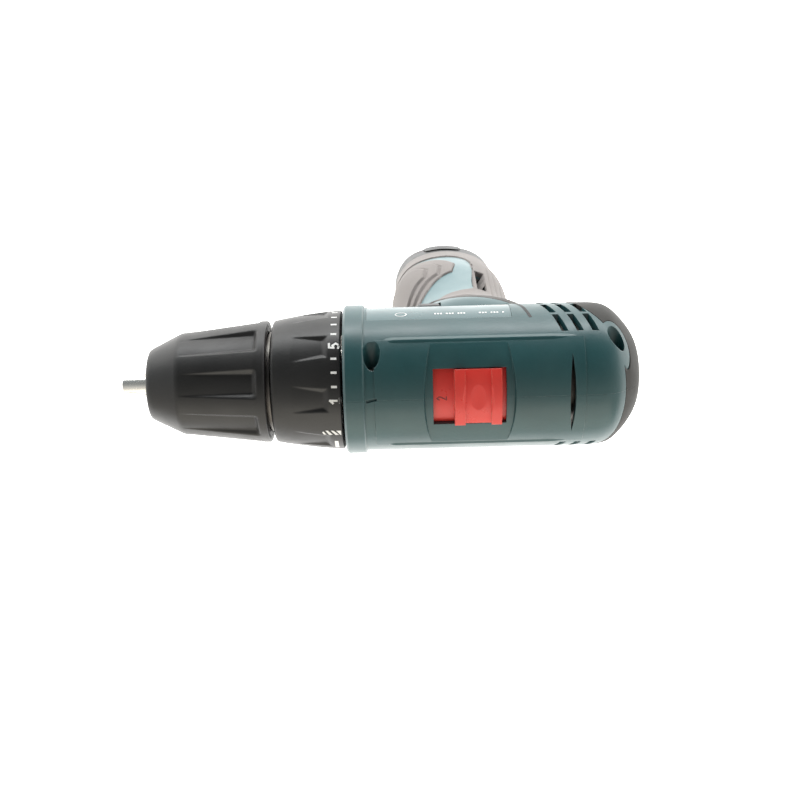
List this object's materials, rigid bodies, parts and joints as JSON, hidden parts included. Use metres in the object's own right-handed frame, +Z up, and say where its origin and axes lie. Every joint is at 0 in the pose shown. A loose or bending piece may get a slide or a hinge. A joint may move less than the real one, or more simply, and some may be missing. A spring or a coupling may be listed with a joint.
{
  "type": "cordless drill",
  "caption": "Compact cordless drill driver with a keyless chuck, numbered torque collar, speed selector and a stick battery in the handle.",
  "frame": {"origin": "middle of the flat foot under the handle", "axes": "+X forward along the chuck, +Z up, +Y to the drill's left"},
  "size_m": [0.182, 0.0524, 0.1813],
  "materials": {
    "teal_plastic": "fine moulded grain, satin",
    "grip_rubber": "soft overmould, matt with moulded grooves",
    "label_film": "smooth satin film",
    "black_plastic": "fine grained glass-filled nylon, semi-matt",
    "red_plastic": "semi-gloss moulded",
    "zinc_screw": "zinc plated",
    "jaw_steel": "ground steel",
    "gear_steel": "sintered steel, lightly greased",
    "nylon": "glass-filled nylon",
    "magnet_ferrite": "matt ferrite",
    "armature_iron": "varnished laminations",
    "copper": "bright",
    "cell_wrap": "shrink film",
    "lens": "clear, lightly domed"
  },
  "bodies": {
    "housing": {"housing_right": "teal_plastic", "housing_left": "teal_plastic", "grip_right": "grip_rubber", "grip_left": "grip_rubber", "label_plate": "label_film", "housing_screws": "zinc_screw", "gearbox_case": "nylon", "gearbox_cover": "jaw_steel", "ring_gear_1": "gear_steel", "ring_gear_3": "gear_steel", "spindle_bearings": "jaw_steel", "clutch_balls": "jaw_steel", "clutch_plate": "jaw_steel", "clutch_spring": "jaw_steel", "motor_can": "gear_steel", "motor_magnets": "magnet_ferrite", "motor_end_cap": "black_plastic", "motor_brushes": "copper", "switch_body": "black_plastic", "terminal_block": "black_plastic", "work_light": "lens", "trigger_spring": "jaw_steel"},
    "collar": {"torque_collar": "black_plastic"},
    "nut": {"spring_nut": "nylon"},
    "spindle": {"output_spindle": "jaw_steel", "chuck_screw": "zinc_screw", "chuck_body": "gear_steel"},
    "sleeve": {"chuck_sleeve": "black_plastic", "chuck_nut": "jaw_steel"},
    "jaw_1": {"jaw_1": "jaw_steel"},
    "jaw_2": {"jaw_2": "jaw_steel"},
    "jaw_3": {"jaw_3": "jaw_steel"},
    "carrier_1": {"carrier_1": "gear_steel"},
    "carrier_2": {"carrier_2": "gear_steel"},
    "rotor": {"motor_shaft": "jaw_steel", "armature": "armature_iron", "commutator": "copper", "motor_pinion": "gear_steel", "motor_fan": "black_plastic"},
    "selector": {"speed_selector": "red_plastic", "shift_fork": "zinc_screw", "ring_gear_2": "gear_steel"},
    "trigger": {"trigger": "black_plastic"},
    "direction": {"direction_slider": "black_plastic"},
    "battery": {"battery_case": "black_plastic", "battery_base": "black_plastic", "battery_cells": "cell_wrap", "battery_contacts": "copper"},
    "release_right": {"release_button_right": "black_plastic"},
    "release_left": {"release_button_left": "black_plastic"},
    "planet_1a": {"planet_1a": "gear_steel"},
    "planet_1b": {"planet_1b": "gear_steel"},
    "planet_1c": {"planet_1c": "gear_steel"},
    "planet_2a": {"planet_2a": "gear_steel"},
    "planet_2b": {"planet_2b": "gear_steel"},
    "planet_2c": {"planet_2c": "gear_steel"},
    "planet_3a": {"planet_3a": "gear_steel"},
    "planet_3b": {"planet_3b": "gear_steel"},
    "planet_3c": {"planet_3c": "gear_steel"}
  },
  "joints": [
    {"name": "motor_spin", "type": "hinge", "parent": "housing", "child": "rotor", "pos_m": [0, 0, 0.155], "axis": [1, 0, 0], "continuous": true},
    {"name": "carrier_1_spin", "type": "hinge", "parent": "housing", "child": "carrier_1", "pos_m": [0, 0, 0.155], "axis": [1, 0, 0], "continuous": true},
    {"name": "carrier_2_spin", "type": "hinge", "parent": "housing", "child": "carrier_2", "pos_m": [0, 0, 0.155], "axis": [1, 0, 0], "continuous": true},
    {"name": "chuck_spin", "type": "hinge", "parent": "housing", "child": "spindle", "pos_m": [0, 0, 0.155], "axis": [1, 0, 0], "continuous": true},
    {"name": "planet_1a_spin", "type": "hinge", "parent": "carrier_1", "child": "planet_1a", "pos_m": [0, 0.0108, 0.155], "axis": [1, 0, 0], "continuous": true},
    {"name": "planet_1b_spin", "type": "hinge", "parent": "carrier_1", "child": "planet_1b", "pos_m": [0, -0.0054, 0.16435], "axis": [1, 0, 0], "continuous": true},
    {"name": "planet_1c_spin", "type": "hinge", "parent": "carrier_1", "child": "planet_1c", "pos_m": [0, -0.0054, 0.14565], "axis": [1, 0, 0], "continuous": true},
    {"name": "planet_2a_spin", "type": "hinge", "parent": "carrier_2", "child": "planet_2a", "pos_m": [0, 0.0108, 0.155], "axis": [1, 0, 0], "continuous": true},
    {"name": "planet_2b_spin", "type": "hinge", "parent": "carrier_2", "child": "planet_2b", "pos_m": [0, -0.0054, 0.16435], "axis": [1, 0, 0], "continuous": true},
    {"name": "planet_2c_spin", "type": "hinge", "parent": "carrier_2", "child": "planet_2c", "pos_m": [0, -0.0054, 0.14565], "axis": [1, 0, 0], "continuous": true},
    {"name": "planet_3a_spin", "type": "hinge", "parent": "spindle", "child": "planet_3a", "pos_m": [0, 0.0108, 0.155], "axis": [1, 0, 0], "continuous": true},
    {"name": "planet_3b_spin", "type": "hinge", "parent": "spindle", "child": "planet_3b", "pos_m": [0, -0.0054, 0.16435], "axis": [1, 0, 0], "continuous": true},
    {"name": "planet_3c_spin", "type": "hinge", "parent": "spindle", "child": "planet_3c", "pos_m": [0, -0.0054, 0.14565], "axis": [1, 0, 0], "continuous": true},
    {"name": "collar_turn", "type": "hinge", "parent": "housing", "child": "collar", "pos_m": [0, 0, 0.155], "axis": [1, 0, 0], "range_deg": [-213.75, 45]},
    {"name": "nut_slide", "type": "slide", "parent": "collar", "child": "nut", "axis": [1, 0, 0], "range_m": [-0.0045, 0.0012]},
    {"name": "sleeve_turn", "type": "hinge", "parent": "spindle", "child": "sleeve", "pos_m": [0, 0, 0.155], "axis": [1, 0, 0], "range_deg": [0, 1800]},
    {"name": "jaw_1_slide", "type": "slide", "parent": "spindle", "child": "jaw_1", "axis": [-0.9659, -0.0885, 0.2432], "range_m": [0, 0.019]},
    {"name": "jaw_2_slide", "type": "slide", "parent": "spindle", "child": "jaw_2", "axis": [-0.9659, -0.1664, -0.1983], "range_m": [0, 0.019]},
    {"name": "jaw_3_slide", "type": "slide", "parent": "spindle", "child": "jaw_3", "axis": [-0.9659, 0.2549, -0.0449], "range_m": [0, 0.019]},
    {"name": "selector_slide", "type": "slide", "parent": "housing", "child": "selector", "axis": [1, 0, 0], "range_m": [0, 0.0055]},
    {"name": "trigger_slide", "type": "slide", "parent": "housing", "child": "trigger", "axis": [-1, 0, 0], "range_m": [0, 0.0065], "stiffness_N_per_m": 400, "springref_m": -0.004},
    {"name": "direction_slide", "type": "slide", "parent": "housing", "child": "direction", "axis": [0, 1, 0], "range_m": [-0.003, 0.003]},
    {"name": "battery_slide", "type": "slide", "parent": "housing", "child": "battery", "axis": [0, 0, -1], "range_m": [0, 0.08]},
    {"name": "release_right_press", "type": "slide", "parent": "battery", "child": "release_right", "axis": [0, 1, 0], "range_m": [0, 0.001], "stiffness_N_per_m": 800, "springref_m": -0.001},
    {"name": "release_left_press", "type": "slide", "parent": "battery", "child": "release_left", "axis": [0, -1, 0], "range_m": [0, 0.001], "stiffness_N_per_m": 800, "springref_m": -0.001}
  ],
  "couplings": [
    {"joint": "carrier_1_spin", "follows": "motor_spin", "ratio": 0.27778},
    {"joint": "carrier_2_spin", "follows": "motor_spin", "ratio": 0.07716},
    {"joint": "chuck_spin", "follows": "motor_spin", "ratio": 0.021433},
    {"joint": "planet_1a_spin", "follows": "motor_spin", "ratio": -0.90278},
    {"joint": "planet_1b_spin", "follows": "motor_spin", "ratio": -0.90278},
    {"joint": "planet_1c_spin", "follows": "motor_spin", "ratio": -0.90278},
    {"joint": "planet_2a_spin", "follows": "motor_spin", "ratio": -0.25077},
    {"joint": "planet_2b_spin", "follows": "motor_spin", "ratio": -0.25077},
    {"joint": "planet_2c_spin", "follows": "motor_spin", "ratio": -0.25077},
    {"joint": "planet_3a_spin", "follows": "motor_spin", "ratio": -0.069659},
    {"joint": "planet_3b_spin", "follows": "motor_spin", "ratio": -0.069659},
    {"joint": "planet_3c_spin", "follows": "motor_spin", "ratio": -0.069659},
    {"joint": "nut_slide", "follows": "collar_turn", "m_per_rad": 0.0011},
    {"joint": "jaw_1_slide", "follows": "sleeve_turn", "m_per_rad": 0.000604},
    {"joint": "jaw_2_slide", "follows": "sleeve_turn", "m_per_rad": 0.000604},
    {"joint": "jaw_3_slide", "follows": "sleeve_turn", "m_per_rad": 0.000604}
  ]
}
